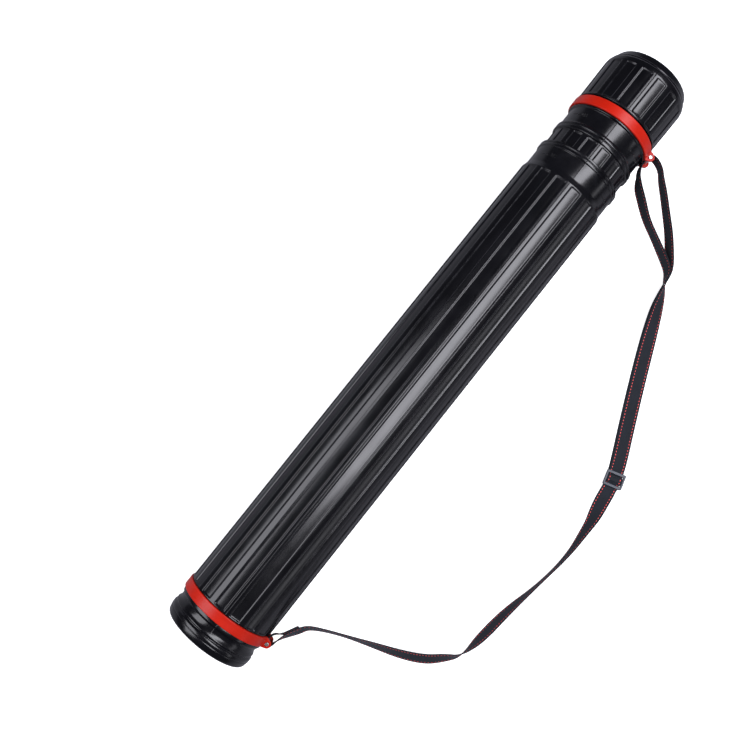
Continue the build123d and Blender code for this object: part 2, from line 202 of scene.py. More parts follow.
def ribbed_shell(name, line, panel_span, panel_depth, seam_span, closed_loop):
    """Shell turned about the tube's axis: r = profile - depth x along(a) x round(θ) + seam(θ), where along
    and round are ramps at the panel's edges and the seam is a low bell-shaped ridge."""
    angle = shell_angles()
    a, radius = line[:, :1], line[:, 1:]
    outside = np.concatenate([np.diff(line[:, 0]) >= -1e-9, [False]])[:, None]
    local = (angle - FIRST_PANEL + PANEL_PERIOD / 2) % PANEL_PERIOD - PANEL_PERIOD / 2
    round_share = ramp((PANEL_HALF + PANEL_SOFT - np.abs(local)) / (2 * PANEL_SOFT))
    start = ramp((a - panel_span[0] + PANEL_SOFT_MM) / (2 * PANEL_SOFT_MM))
    end = ramp((panel_span[1] + PANEL_SOFT_MM - a) / (2 * PANEL_SOFT_MM))
    sunk = outside * start * end * round_share
    past_seam = (angle - SEAM) % 180.0
    arc = np.radians(np.minimum(past_seam, 180.0 - past_seam)) * SEAM_RADIUS_MM
    in_seam = outside * (a > seam_span[0]) * (a < seam_span[1])
    ridge = in_seam * SEAM_HEIGHT_MM * np.exp(-((arc / SEAM_WIDTH_MM) ** 2))
    shaped = np.maximum(radius - panel_depth * sunk + ridge, 0.0)
    theta = np.radians(angle)
    points = np.stack(
        [
            along_foot(a) + 0.0 * shaped,
            AXIS_Y + shaped * np.cos(theta) * MM,
            AXIS_Z + shaped * np.sin(theta) * MM,
        ],
        axis=-1,
    )
    # rim: 1 along the panel edges and the profile's corners, where the shell gets a lighter colour, part wear
    # and part painted highlight
    turn = np.abs(np.gradient(np.unwrap(np.arctan2(np.gradient(radius[:, 0]), np.gradient(a[:, 0])))))
    corner = (outside[:, 0] * np.clip(turn * 1.5, 0, 1))[:, None]
    rim = np.clip(4.0 * sunk * (1.0 - sunk) + corner, 0, 1)
    if closed_loop:
        return grid_object(name, points[:-1], rows_wrap=True, ends=False, rim=rim[:-1])
    middles = np.array([[along_foot(a[k, 0]), AXIS_Y, AXIS_Z] for k in (0, -1)])
    return grid_object(name, points[1:-1], middles=middles, rim=rim[1:-1])


OUTER_PANELS = (44.8, 604.4)
INNER_PANELS = (80.0, 658.4)
CAP_PANELS = (707.9, 752.6)
MAIN_R = 51.0
WAIST_R = 48.4
INNER_R = 47.3
COLLAR_R = 49.2


def make_outer_tube():
    """Foot, waist, band seat, ribbed barrel, bevelled shoulder, collar and beaded mouth, with its bore."""
    foot = [
        (3.0, 0.0, 0.0),
        (3.0, 27.0, 0.6),
        (0.0, 33.0, 1.2),
        (0.0, 49.3, 7.6),
        (8.1, 51.0, 0.8),
        (8.7, 50.55, 0.3),
        (9.4, 51.0, 0.5),
        (12.4, 51.0, 1.4),
        (14.4, 49.2, 0.6),
        (16.2, 50.4, 1.1),
        (18.2, 49.2, 0.9),
        (20.4, WAIST_R, 1.8),
        (25.3, WAIST_R, 0.5),
        (26.4, 50.3, 0.6),
        (27.8, 50.65, 0.3),
        (30.6, 50.6, 0.15),
        (30.6, 50.0, 0.1),
        (42.5, 50.0, 0.1),
        (42.6, 50.6, 0.2),
        (43.1, MAIN_R, 0.3),
    ]
    shoulder = [
        (606.0, MAIN_R, 0.5),
        (607.2, 50.6, 0.6),
        (611.2, 49.5, 1.0),
        (612.8, COLLAR_R, 0.8),
        (632.9, COLLAR_R, 0.4),
        (633.3, 50.5, 0.8),
        (636.3, 50.5, 0.8),
        (636.9, 49.6, 0.3),
        (637.5, 50.5, 0.8),
        (640.0, 50.4, 0.7),
        (640.0, 47.7, 0.3),
    ]
    bore = [
        (639.1, 47.7, 0.1),
        (639.1, 48.9, 0.1),
        (633.9, 48.9, 0.1),
        (633.9, 47.7, 0.1),
        (607.0, 47.7, 0.1),
        (607.0, 48.3, 0.1),
        (31.0, 48.3, 0.6),
        (28.0, 46.9, 0.6),
        (20.0, 46.9, 0.8),
        (16.0, 48.6, 0.8),
        (8.0, 49.0, 2.0),
        (4.6, 47.5, 1.2),
        (4.6, 0.0, 0.0),
    ]
    line = softened(foot + panel_marks(OUTER_PANELS, MAIN_R, MAIN_R) + shoulder + bore)
    return ribbed_shell("outer_tube_shell", line, OUTER_PANELS, 1.2, (19.0, 640.0), False)


def make_inner_tube():
    """Plain tail, ring seat, ribbed barrel, double bead, collar, rim, band seat, neck and bore, as one
    loop."""
    tail = [
        (5.2, 45.6, 0.0),
        (5.2, 46.4, 0.4),
        (57.8, 46.4, 0.2),
        (58.6, 47.1, 0.3),
        (59.8, 47.1, 0.3),
        (60.2, 46.4, 0.1),
        (76.5, 46.4, 0.1),
        (76.6, INNER_R, 0.3),
    ]
    head = [
        (659.6, INNER_R, 0.4),
        (660.1, 49.2, 0.8),
        (663.4, 49.3, 0.8),
        (664.3, 48.1, 0.3),
        (665.2, 49.2, 0.8),
        (667.8, 49.0, 0.7),
        (669.2, INNER_R, 0.6),
        (688.4, INNER_R, 0.6),
        (689.2, 49.3, 0.5),
        (690.9, 49.3, 0.3),
        (691.0, 48.7, 0.1),
        (702.9, 48.7, 0.1),
        (703.0, 46.9, 0.2),
        (727.4, 46.9, 0.6),
        (728.0, 46.2, 0.3),
        (728.0, 44.9, 0.3),
    ]
    bore = [(500.0, 44.9, 0.0), (250.0, 44.9, 0.0), (5.2, 44.9, 0.3), (5.2, 45.6, 0.0)]
    line = softened(tail + panel_marks(INNER_PANELS, INNER_R, INNER_R) + head + bore)
    return ribbed_shell("inner_tube_shell", line, INNER_PANELS, 1.0, (82.0, 691.0), True)


def make_cap():
    """Hollow inside, skirt rim, ribbed skirt that widens a little, rounded edge, low ring and flat end."""
    inside = [
        (770.3, 0.0, 0.0),
        (770.3, 36.0, 3.0),
        (765.0, 43.5, 2.0),
        (750.0, 45.6, 1.5),
        (732.0, 45.6, 0.2),
        (732.0, 47.3, 0.1),
        (704.9, 47.3, 0.4),
        (704.9, 50.0, 0.5),
        (706.6, 50.0, 0.4),
        (706.9, 49.6, 0.1),
    ]
    crown = [
        (754.6, 50.42, 1.6),
        (759.0, 49.9, 1.6),
        (761.0, 48.3, 0.4),
        (762.4, 48.5, 0.6),
        (763.2, 47.1, 0.3),
        (772.0, 44.3, 9.6),
        (772.0, 30.6, 0.3),
        (771.5, 30.0, 0.3),
        (771.5, 0.0, 0.0),
    ]
    line = softened(inside + panel_marks(CAP_PANELS, 49.62, 50.38) + crown)
    return ribbed_shell("cap_shell", line, CAP_PANELS, 1.0, (706.0, 763.0), False)


# ---- low relief on the collars: plain bars and an arrow that show which way to turn ----
RELIEF_MM = 0.35


def relief_strip(centre_a, half_start, half_end, angle_start, angle_end, radius):
    """Raised strip bent round the tube: its half width along the tube runs evenly from half_start to half_end
    over the angle, and its section is a low block that reaches into the surface."""
    angle = np.radians(np.linspace(angle_start, angle_end, 9))[:, None]
    half = np.linspace(half_start, half_end, 9)[:, None]
    across = np.array([1.0, 0.93, 0.6, -0.6, -0.93, -1.0])
    height = np.array([-0.3, RELIEF_MM * 0.8, RELIEF_MM, RELIEF_MM, RELIEF_MM * 0.8, -0.3])
    a = centre_a + half * across
    r = radius + height + 0.0 * angle
    points = np.stack(
        [
            along_foot(a),
            AXIS_Y + r * np.cos(angle) * MM,
            AXIS_Z + r * np.sin(angle) * MM,
        ],
        axis=-1,
    )
    return grid_object("relief_strip", points, rim=0.0 * a)


def make_collar_relief(name, centre_a, radius, angles):
    """An arrow and three bars at each of the angles round a collar."""
    strips = []
    for angle in angles:
        strips.append(relief_strip(centre_a, 0.55, 0.55, angle - 9.0, angle + 1.0, radius))
        strips.append(relief_strip(centre_a, 2.4, 0.15, angle + 1.0, angle + 5.0, radius))
        for bar in range(3):
            first = angle + 8.0 + 3.4 * bar
            strips.append(relief_strip(centre_a, 2.3, 2.3, first, first + 1.3, radius))
    return joined(name, strips)


# ---- webbing ----
WEB_HALF_MM = 8.5
WEB_HALF_THICK_MM = 0.65
STITCH_ROW_MM = 6.1          # distance of a stitch row from the middle of the webbing
STITCH_PITCH = 0.0036
STITCH_HALF_MM = (1.2, 0.92, 0.74)   # half of a dash along its row, across it, and through the webbing

# (distance from the foot, side distance, height, tilt): at tilt 0 the webbing stands on its edge,
# and at 90 it lies flat with its first edge away from the tube
MAIN_ROUTE = [
    (68.5, 72.0, 52.5, 30),
    (59.2, 66.8, 52.5, 26),
    (52.0, 61.0, 52.5, 15),
    (46.8, 53.4, 52.5, 4),
    (39.5, 52.05, 52.5, 0),
    (33.6, 52.25, 52.5, 0),
    (33.2, 57.6, 52.5, 0),
    (38.2, 59.6, 52.5, 0),
    (46.5, 62.2, 52.5, -11),
    (54.5, 66.0, 52.5, -22),
    (64.0, 71.6, 52.5, -30),
    (74.0, 77.5, 52.5, -26),
    (82.0, 95.0, 45.0, -21),
    (89.8, 119.0, 33.0, -21),
    (97.5, 147.0, 19.0, -33),
    (106.5, 177.0, 10.3, -45),
    (119.0, 203.0, 7.7, -50),
    (134.0, 218.5, 7.9, -42),
    (146.0, 230.9, 8.6, -18),
    (175.0, 236.0, 8.3, 30),
    (216.0, 240.6, 8.3, 22),
    (260.0, 249.8, 8.7, -6),
    (306.0, 256.2, 8.7, 0),
    (345.0, 254.0, 8.2, 25),
    (353.0, 253.55, 7.6, 36),
    (362.0, 252.2, 6.6, 50),
    (372.0, 250.8, 4.6, 64),
    (384.0, 249.4, 3.0, 78),
    (392.0, 248.4, 2.5, 88),
    (400.0, 247.2, 2.25, 90),
    (411.0, 244.5, 2.15, 90),
    (428.0, 237.8, 2.15, 90),
    (456.0, 224.8, 2.15, 90),
    (500.0, 205.0, 2.15, 90),
    (545.0, 185.6, 2.15, 92),
    (583.0, 169.7, 4.4, 116),
    (602.0, 161.8, 7.6, 140),
    (617.0, 155.6, 10.1, 172),
    (630.0, 150.2, 12.6, 192),
    (643.0, 138.0, 17.0, 198),
    (657.5, 123.5, 24.5, 193),
    (671.4, 105.2, 34.0, 188),
    (682.7, 88.9, 44.5, 186),
    (690.4, 77.2, 51.5, 183),
    (698.0, 70.0, 52.5, 180),
    (703.2, 59.4, 52.5, 180),
    (702.4, 50.55, 52.5, 180),
    (692.0, 50.55, 52.5, 180),
    (683.0, 51.4, 52.5, 180),
    (676.0, 56.2, 52.5, 180),
]
RETURN_ROUTE = [
    (676.0, 56.2, 52.5, 0),
    (668.6, 61.3, 52.5, -14),
    (660.0, 75.0, 46.5, -14),
    (650.9, 93.0, 34.0, -8),
    (644.3, 114.2, 23.0, -8),
    (636.2, 135.0, 14.5, -14),
    (628.4, 149.3, 11.0, -12),
    (616.4, 154.2, 8.8, 8),
    (601.4, 160.4, 6.3, 40),
    (582.4, 168.3, 3.1, 70),
    (544.4, 184.2, 0.75, 88),
    (499.4, 203.6, 0.75, 90),
    (455.4, 223.4, 0.75, 90),
    (430.0, 235.3, 0.75, 90),
    (413.0, 242.6, 0.75, 90),
]


def spline_points(points):
    """Points on the NURBS line of order 3 that has these control points."""
    curve = bpy.data.curves.new("route", "CURVE")
    curve.dimensions = "3D"
    curve.resolution_u = 8
    spline = curve.splines.new("NURBS")
    spline.points.add(len(points) - 1)
    weights = np.ones((len(points), 1))
    spline.points.foreach_set("co", np.hstack([points, weights]).ravel())
    spline.order_u = 3
    spline.use_endpoint_u = True
    holder = bpy.data.objects.new("route", curve)
    mesh = bpy.data.meshes.new_from_object(holder)
    found = np.zeros(len(mesh.vertices) * 3)
    mesh.vertices.foreach_get("co", found)
    bpy.data.objects.remove(holder)
    bpy.data.meshes.remove(mesh)
    return found.reshape(-1, 3)


def unit(vectors):
    return vectors / np.linalg.norm(vectors, axis=1)[:, None]


def webbing_line(route):
    """Centre line and width direction of webbing along a route: across = cos(tilt) up + sin(tilt) right,
    both square to the line."""
    route = np.array(route, float)
    line = spline_points(placed(route[:, :3]))
    tilt_points = np.stack([route[:, 3] * MM, np.arange(len(route)) * MM, 0.0 * route[:, 3]], axis=1)
    tilt = np.radians(spline_points(tilt_points)[:, 0] / MM)[:, None]
    heading = unit(np.gradient(line, axis=0))
    right = unit(np.cross(heading, [0.0, 0.0, 1.0]))
    upward = np.cross(right, heading)
    return line, np.cos(tilt) * upward + np.sin(tilt) * right


def webbing_section():
    """Half section (w, n): a flat band with a rounded selvedge and a shallow groove under each stitch row."""
    w = np.array([0.0, 2.6, 4.6, 5.4, 5.75, 6.0, 6.25, 6.6, 7.3, 7.9, 8.25, 8.45, 8.5])
    edge = np.sqrt(np.clip(1.0 - (np.clip(w - 7.6, 0, None) / 0.92) ** 2, 0.0, 1.0))
    groove = 0.13 * np.exp(-(((w - STITCH_ROW_MM) / 0.38) ** 2))
    n = WEB_HALF_THICK_MM * edge - groove
    top_w = np.concatenate([-w[::-1], w[1:]])
    top_n = np.concatenate([n[::-1], n[1:]])
    return np.concatenate([top_w, top_w[::-1][1:-1]]), np.concatenate([top_n, -top_n[::-1][1:-1]])


def webbing(name, line, across):
    """Webbing carried along a line: point = line + w across + n normal, for each (w, n) of its section."""
    w, n = webbing_section()
    heading = unit(np.gradient(line, axis=0))
    normal = unit(np.cross(across, heading))
    points = line[:, None] + (w[:, None] * across[:, None] + n[:, None] * normal[:, None]) * MM
    distance = np.concatenate([[0.0], np.cumsum(np.linalg.norm(np.diff(line, axis=0), axis=1))])
    uv = np.stack(np.broadcast_arrays(w * MM, distance[:, None]), axis=-1)
    return grid_object(name, points, uv=uv)


def thread_bead(rings=5, sides=8):
    """Unit bead without its two tips: rings of a ball that is a little square, as (along, across, out)."""
    t = np.linspace(0.0, np.pi, rings + 2)[1:-1, None]
    turn = np.linspace(0.0, 2 * np.pi, sides, endpoint=False)[None, :]
    round_ring = np.sin(t) ** 0.7
    along = -np.sign(np.cos(t)) * np.abs(np.cos(t)) ** 0.8
    rings = np.broadcast_arrays(along, round_ring * np.cos(turn), round_ring * np.sin(turn))
    return np.stack(rings, axis=-1)


def stitched(name, line, across, rows, start=0.002, stop=0.002, crossing=()):
    """Dashes of thread along a webbing line: each is a bead set in the webbing at its own distance along
    the line and from its middle. crossing holds (distance, from, to) rows that run across the webbing."""
    distance = np.concatenate([[0.0], np.cumsum(np.linalg.norm(np.diff(line, axis=0), axis=1))])
    steps = np.arange(start, distance[-1] - stop, STITCH_PITCH)
    at = np.tile(steps, len(rows))
    offset = np.repeat(np.array(rows) * MM, len(steps))
    turned = np.zeros(len(at), bool)
    for where, low, high in crossing:
        side = np.arange(low, high, STITCH_PITCH / MM * 0.8)
        at = np.concatenate([at, np.full(len(side), where)])
        offset = np.concatenate([offset, side * MM])
        turned = np.concatenate([turned, np.ones(len(side), bool)])
    place = np.stack([np.interp(at, distance, line[:, k]) for k in range(3)], axis=1)
    sideways = unit(np.stack([np.interp(at, distance, across[:, k]) for k in range(3)], axis=1))
    slope = unit(np.gradient(line, axis=0))
    heading = unit(np.stack([np.interp(at, distance, slope[:, k]) for k in range(3)], axis=1))
    normal = unit(np.cross(sideways, heading))
    place = place + offset[:, None] * sideways
    first = np.where(turned[:, None], sideways, heading) * STITCH_HALF_MM[0] * MM
    second = np.where(turned[:, None], -heading, sideways) * STITCH_HALF_MM[1] * MM
    third = normal * STITCH_HALF_MM[2] * MM
    bead = thread_bead()
    rings, sides = bead.shape[:2]
    shape = np.vstack([bead.reshape(-1, 3), [[-1.0, 0.0, 0.0], [1.0, 0.0, 0.0]]])
    vertices = (
        place[:, None]
        + shape[:, 0, None] * first[:, None]
        + shape[:, 1, None] * second[:, None]
        + shape[:, 2, None] * third[:, None]
    )
    one = grid_faces(rings, sides, False, True)
    base = np.arange(len(at))[:, None, None] * len(shape)
    faces = []
    for corners in (4, 3):
        flat = np.array([face for face in one if len(face) == corners])
        faces += (flat + base).reshape(-1, corners)[:, ::-1].tolist()
    mesh = bpy.data.meshes.new(name)
    mesh.from_pydata(vertices.reshape(-1, 3).tolist(), [], faces)
    mesh.shade_smooth()
    piece = bpy.data.objects.new(name, mesh)
    bpy.context.collection.objects.link(piece)
    return piece


# ---- shared shader groups ----
def new_group(name, inputs, outputs):
    """Empty shader group with named inputs (name, kind, value) and outputs (name, kind)."""
    tree = bpy.data.node_groups.new(name, "ShaderNodeTree")
    for label, kind, value in inputs:
        socket = tree.interface.new_socket(label, in_out="INPUT", socket_type=kind)
        socket.default_value = value
    for label, kind in outputs:
        tree.interface.new_socket(label, in_out="OUTPUT", socket_type=kind)
    return tree, tree.nodes.new("NodeGroupInput").outputs, tree.nodes.new("NodeGroupOutput").inputs


def maths(tree, operation, first, second=0.0, third=None):
    """Math node with sockets or numbers as its terms."""
    node = tree.nodes.new("ShaderNodeMath")
    node.operation = operation
    for slot_index, term in enumerate((first, second, third)):
        if isinstance(term, bpy.types.NodeSocket):
            tree.links.new(term, node.inputs[slot_index])
        elif term is not None:
            node.inputs[slot_index].default_value = term
    return node.outputs[0]


def noise(tree, coordinates, scale, detail=3.0, stretch=None):
    """Noise between 0 and 1 on the given coordinates, optionally stretched by a scale for each axis."""
    node = tree.nodes.new("ShaderNodeTexNoise")
    node.inputs["Detail"].default_value = detail
    if stretch is not None:
        mapping = tree.nodes.new("ShaderNodeMapping")
        mapping.inputs["Scale"].default_value = stretch
        tree.links.new(coordinates, mapping.inputs["Vector"])
        coordinates = mapping.outputs["Vector"]
    tree.links.new(coordinates, node.inputs["Vector"])
    if isinstance(scale, bpy.types.NodeSocket):
        tree.links.new(scale, node.inputs["Scale"])
    else:
        node.inputs["Scale"].default_value = scale
    return node.outputs["Fac"]


def remapped(tree, value, low, high, to_low, to_high):
    """Value moved from one range to another, clamped to it. The new range may be sockets."""
    node = tree.nodes.new("ShaderNodeMapRange")
    tree.links.new(value, node.inputs["Value"])
    for label, term in (("From Min", low), ("From Max", high), ("To Min", to_low), ("To Max", to_high)):
        if isinstance(term, bpy.types.NodeSocket):
            tree.links.new(term, node.inputs[label])
        else:
            node.inputs[label].default_value = term
    return node.outputs["Result"]


def mixed(tree, share, first, second):
    """Colour between two colours."""
    node = tree.nodes.new("ShaderNodeMix")
    node.data_type = "RGBA"
    tree.links.new(share, node.inputs["Factor"])
    for label, term in (("A", first), ("B", second)):
        socket = [s for s in node.inputs if s.name == label and s.type == "RGBA"][0]
        if isinstance(term, bpy.types.NodeSocket):
            tree.links.new(term, socket)
        else:
            socket.default_value = term
    return [s for s in node.outputs if s.type == "RGBA"][0]


def own_coordinates(tree, kind="Object"):
    return tree.nodes.new("ShaderNodeTexCoord").outputs[kind]


def make_mould_group():
    """Moulded plastic: cloudy colour, uneven gloss with faint handling scuffs, and a fine grain."""
    tree, given, gives = new_group(
        "moulded_plastic",
        [
            ("Dark", "NodeSocketColor", (0.01, 0.01, 0.01, 1.0)),
            ("Light", "NodeSocketColor", (0.02, 0.02, 0.02, 1.0)),
            ("Cloud Scale", "NodeSocketFloat", 30.0),
            ("Grain Scale", "NodeSocketFloat", 1500.0),
            ("Smoothest", "NodeSocketFloat", 0.2),
            ("Roughest", "NodeSocketFloat", 0.35),
        ],
        [("Color", "NodeSocketColor"), ("Roughness", "NodeSocketFloat"), ("Height", "NodeSocketFloat")],
    )
    place = own_coordinates(tree)
    cloud = noise(tree, place, given["Cloud Scale"], 4.0)
    cloudy = mixed(tree, remapped(tree, cloud, 0.3, 0.7, 0.0, 1.0), given["Dark"], given["Light"])
    tree.links.new(cloudy, gives["Color"])
    scuff = noise(tree, place, 1.0, 2.0, (60.0, 900.0, 900.0))
    scuff_mask = remapped(tree, scuff, 0.62, 0.78, 0.0, 0.5)
    uneven = maths(tree, "ADD", remapped(tree, cloud, 0.25, 0.75, 0.0, 0.8), scuff_mask)
    gloss = remapped(tree, uneven, 0.0, 1.0, given["Smoothest"], given["Roughest"])
    tree.links.new(gloss, gives["Roughness"])
    grain = noise(tree, place, given["Grain Scale"], 2.0)
    wave = noise(tree, place, 1.0, 1.0, (12.0, 60.0, 60.0))
    tree.links.new(maths(tree, "ADD", maths(tree, "MULTIPLY", grain, 0.07), wave), gives["Height"])
    return tree


def make_rub_and_highlight_group():
    """Rims: a broken mask along them, from the rim attribute, and their lighter colour, part wear and part
    painted highlight.
    """
    tree, given, gives = new_group(
        "rubbed_and_highlit_edges",
        [
            ("Color", "NodeSocketColor", (0.01, 0.01, 0.01, 1.0)),
            ("Rubbed", "NodeSocketColor", (0.04, 0.04, 0.045, 1.0)),
            ("Amount", "NodeSocketFloat", 0.4),
        ],
        [("Color", "NodeSocketColor"), ("Mask", "NodeSocketFloat")],
    )
    attribute = tree.nodes.new("ShaderNodeAttribute")
    attribute.attribute_name = "rim"
    broken = remapped(tree, noise(tree, own_coordinates(tree), 160.0, 5.0), 0.42, 0.66, 0.0, 1.0)
    broken_rim = maths(tree, "MULTIPLY", attribute.outputs["Fac"], broken)
    mask = maths(tree, "MULTIPLY", broken_rim, given["Amount"])
    tree.links.new(mask, gives["Mask"])
    tree.links.new(mixed(tree, mask, given["Color"], given["Rubbed"]), gives["Color"])
    return tree


def make_weave_group():
    """Woven webbing on its UV map in metres: weft ribs across, warp yarns along, in a plain weave."""
    tree, given, gives = new_group(
        "webbing_weave",
        [
            ("Hollow", "NodeSocketColor", (0.01, 0.01, 0.01, 1.0)),
            ("Yarn", "NodeSocketColor", (0.03, 0.04, 0.05, 1.0)),
            ("Warp Pitch", "NodeSocketFloat", 0.0008),
            ("Weft Pitch", "NodeSocketFloat", 0.0011),
        ],
        [("Color", "NodeSocketColor"), ("Height", "NodeSocketFloat")],
    )
    split = tree.nodes.new("ShaderNodeSeparateXYZ")
    uv = own_coordinates(tree, "UV")
    tree.links.new(uv, split.inputs[0])
    across = maths(tree, "MULTIPLY", maths(tree, "DIVIDE", split.outputs[0], given["Warp Pitch"]), math.pi)
    along = maths(tree, "MULTIPLY", maths(tree, "DIVIDE", split.outputs[1], given["Weft Pitch"]), math.pi)
    checks = maths(tree, "MULTIPLY", maths(tree, "SINE", across), maths(tree, "SINE", along))
    ribs = maths(tree, "ABSOLUTE", maths(tree, "SINE", along))
    height = maths(tree, "ADD", maths(tree, "ABSOLUTE", checks), maths(tree, "MULTIPLY", ribs, 0.5))
    fuzz = noise(tree, own_coordinates(tree), 2600.0, 3.0)
    patch = noise(tree, own_coordinates(tree), 55.0, 3.0)
    tree.links.new(maths(tree, "ADD", height, maths(tree, "MULTIPLY", fuzz, 0.5)), gives["Height"])
    # the weave's hollows get the darker colour: painted shade between the yarns, with random patches of tone
    # on top
    shade = maths(tree, "ADD", maths(tree, "MULTIPLY", height, 0.45), maths(tree, "MULTIPLY", patch, 0.5))
    woven = mixed(tree, remapped(tree, shade, 0.15, 0.95, 0.0, 1.0), given["Hollow"], given["Yarn"])
    tree.links.new(woven, gives["Color"])
    return tree


MOULD = make_mould_group()
RUB_AND_HIGHLIGHT = make_rub_and_highlight_group()
WEAVE = make_weave_group()


# ---- materials ----
def new_material(name, **constants):
    """Material with one Principled shader whose named sockets hold the constants."""
    made = bpy.data.materials.new(name)
    made.use_nodes = True
    shader = made.node_tree.nodes["Principled BSDF"]
    for label, value in constants.items():
        shader.inputs[label.replace("_", " ")].default_value = value
    return made, made.node_tree, shader


def group_node(tree, group, **values):
    node = tree.nodes.new("ShaderNodeGroup")
    node.node_tree = group
    for label, value in values.items():
        node.inputs[label.replace("_", " ")].default_value = value
    return node


def bump(tree, height, shader, strength, distance):
    node = tree.nodes.new("ShaderNodeBump")
    node.inputs["Strength"].default_value = strength
    node.inputs["Distance"].default_value = distance
    tree.links.new(height, node.inputs["Height"])
    tree.links.new(node.outputs["Normal"], shader.inputs["Normal"])


def moulded(
    name, dark, light, smoothest, roughest, rub_highlight_colour, rub_highlight_amount, depth, cloud=30.0, grain=1500.0, **constants
):
    """Moulded plastic or rubber: clouded colour and gloss, lighter rims that are part wear and part painted
    highlight, and a fine grain.
    """
    made, tree, shader = new_material(name, **constants)
    mould = group_node(tree, MOULD, Dark=dark, Light=light, Cloud_Scale=cloud, Grain_Scale=grain)
    mould.inputs["Smoothest"].default_value = smoothest
    mould.inputs["Roughest"].default_value = roughest
    rub_highlight = group_node(tree, RUB_AND_HIGHLIGHT, Rubbed=rub_highlight_colour, Amount=rub_highlight_amount)
    tree.links.new(mould.outputs["Color"], rub_highlight.inputs["Color"])
    tree.links.new(rub_highlight.outputs["Color"], shader.inputs["Base Color"])
    # the rim mask lightens the colour above: part wear, part a painted highlight along the edges
    rough = maths(tree, "MULTIPLY_ADD", rub_highlight.outputs["Mask"], 0.12, mould.outputs["Roughness"])
    tree.links.new(rough, shader.inputs["Roughness"])
    bump(tree, mould.outputs["Height"], shader, 0.3, depth)
    return made


def rgb(red, green, blue):
    return (red, green, blue, 1.0)


# the colour after the two gloss values is the lighter rim colour: part wear, part a painted highlight along
# the shells' edges
black_plastic = moulded(
    "black_blow_moulding", rgb(0.0016, 0.0016, 0.0026), rgb(0.0035, 0.0035, 0.0052), 0.17, 0.27,
    rgb(0.02, 0.02, 0.026), 0.35, 0.00006, IOR=1.5,
)
red_plastic = moulded(
    "red_band_plastic", rgb(0.46, 0.011, 0.003), rgb(0.55, 0.016, 0.005), 0.3, 0.42,
    rgb(0.9, 0.08, 0.04), 0.2, 0.00003, cloud=45.0, IOR=1.45, Specular_IOR_Level=0.3,
    Subsurface_Weight=0.06, Subsurface_Scale=0.002,
)
natural_plastic = moulded(
    "natural_acetal", rgb(0.5, 0.49, 0.45), rgb(0.6, 0.59, 0.56), 0.35, 0.5,
    rgb(0.7, 0.7, 0.68), 0.3, 0.00003, cloud=60.0, IOR=1.48,
)
soft_rubber = moulded(
    "seal_foam_rubber", rgb(0.012, 0.012, 0.012), rgb(0.03, 0.03, 0.03), 0.7, 0.9,
    rgb(0.05, 0.05, 0.05), 0.3, 0.0002, cloud=250.0, grain=2500.0, IOR=1.5,
)
slider_plastic = moulded(
    "slider_slate_plastic", rgb(0.022, 0.028, 0.042), rgb(0.034, 0.042, 0.06), 0.36, 0.5,
    rgb(0.09, 0.1, 0.12), 0.4, 0.00005, cloud=160.0, grain=3000.0, IOR=1.48,
)


def make_pin_metal():
    """Zinc-plated steel with fine turned rings of brightness and small dull spots."""
    made, tree, shader = new_material("zinc_plated_pin", Metallic=1.0)
    place = own_coordinates(tree)
    streak = noise(tree, place, 1.0, 3.0, (2500.0, 2500.0, 300.0))
    spot = noise(tree, place, 700.0, 4.0)
    dull = remapped(tree, spot, 0.35, 0.7, 0.0, 1.0)
    colour = mixed(tree, dull, rgb(0.72, 0.73, 0.73), rgb(0.5, 0.5, 0.49))
    tree.links.new(colour, shader.inputs["Base Color"])
    tree.links.new(remapped(tree, streak, 0.3, 0.7, 0.18, 0.42), shader.inputs["Roughness"])
    bump(tree, streak, shader, 0.3, 0.00002)
    return made


def make_webbing_material():
    """Slate polyester webbing with a plain weave and a soft sheen."""
    made, tree, shader = new_material(
        "slate_webbing", Roughness=0.75, Sheen_Weight=0.14, Sheen_Roughness=0.45, Specular_IOR_Level=0.3
    )
    shader.inputs["Sheen Tint"].default_value = rgb(0.6, 0.68, 0.8)
    # Hollow is the painted shade in the weave's hollows; Yarn is the yarn's own colour
    weave = group_node(
        tree, WEAVE, Hollow=rgb(0.003, 0.0035, 0.005), Yarn=rgb(0.013, 0.017, 0.026),
        Warp_Pitch=0.00085, Weft_Pitch=0.0012,
    )
    tree.links.new(weave.outputs["Color"], shader.inputs["Base Color"])
    bump(tree, weave.outputs["Height"], shader, 0.7, 0.00018)
    return made


def make_thread_material():
    """Red polyester thread, brighter and duller along its twist."""
    made, tree, shader = new_material("red_stitch_thread", Roughness=0.55, Sheen_Weight=0.2)
    place = own_coordinates(tree)
    twist = noise(tree, place, 1.0, 2.0, (1800.0, 1800.0, 1800.0))
    bright = remapped(tree, twist, 0.3, 0.7, 0.0, 1.0)
    colour = mixed(tree, bright, rgb(0.85, 0.035, 0.035), rgb(1.0, 0.13, 0.11))
    tree.links.new(colour, shader.inputs["Base Color"])
    bump(tree, twist, shader, 0.5, 0.0001)
    return made


FLOOR_GLOW = 0.85


def make_floor_material():
    """Matt white paper with a barely uneven tone. The camera sees it glow, so that it stays white, and the
    object reflects it darker."""
    made, tree, shader = new_material("white_paper", Roughness=0.8, Specular_IOR_Level=0.1)
    tone = noise(tree, own_coordinates(tree), 3.0, 2.0)
    seen = tree.nodes.new("ShaderNodeLightPath").outputs["Is Camera Ray"]
    paper = mixed(tree, tone, rgb(0.88, 0.88, 0.88), rgb(0.91, 0.91, 0.91))
    tree.links.new(mixed(tree, seen, rgb(0.3, 0.3, 0.32), paper), shader.inputs["Base Color"])
    tree.links.new(paper, shader.inputs["Emission Color"])
    tree.links.new(maths(tree, "MULTIPLY", seen, FLOOR_GLOW), shader.inputs["Emission Strength"])
    bump(tree, tone, shader, 0.05, 0.0005)
    return made


pin_metal = make_pin_metal()
webbing_material = make_webbing_material()
thread_material = make_thread_material()


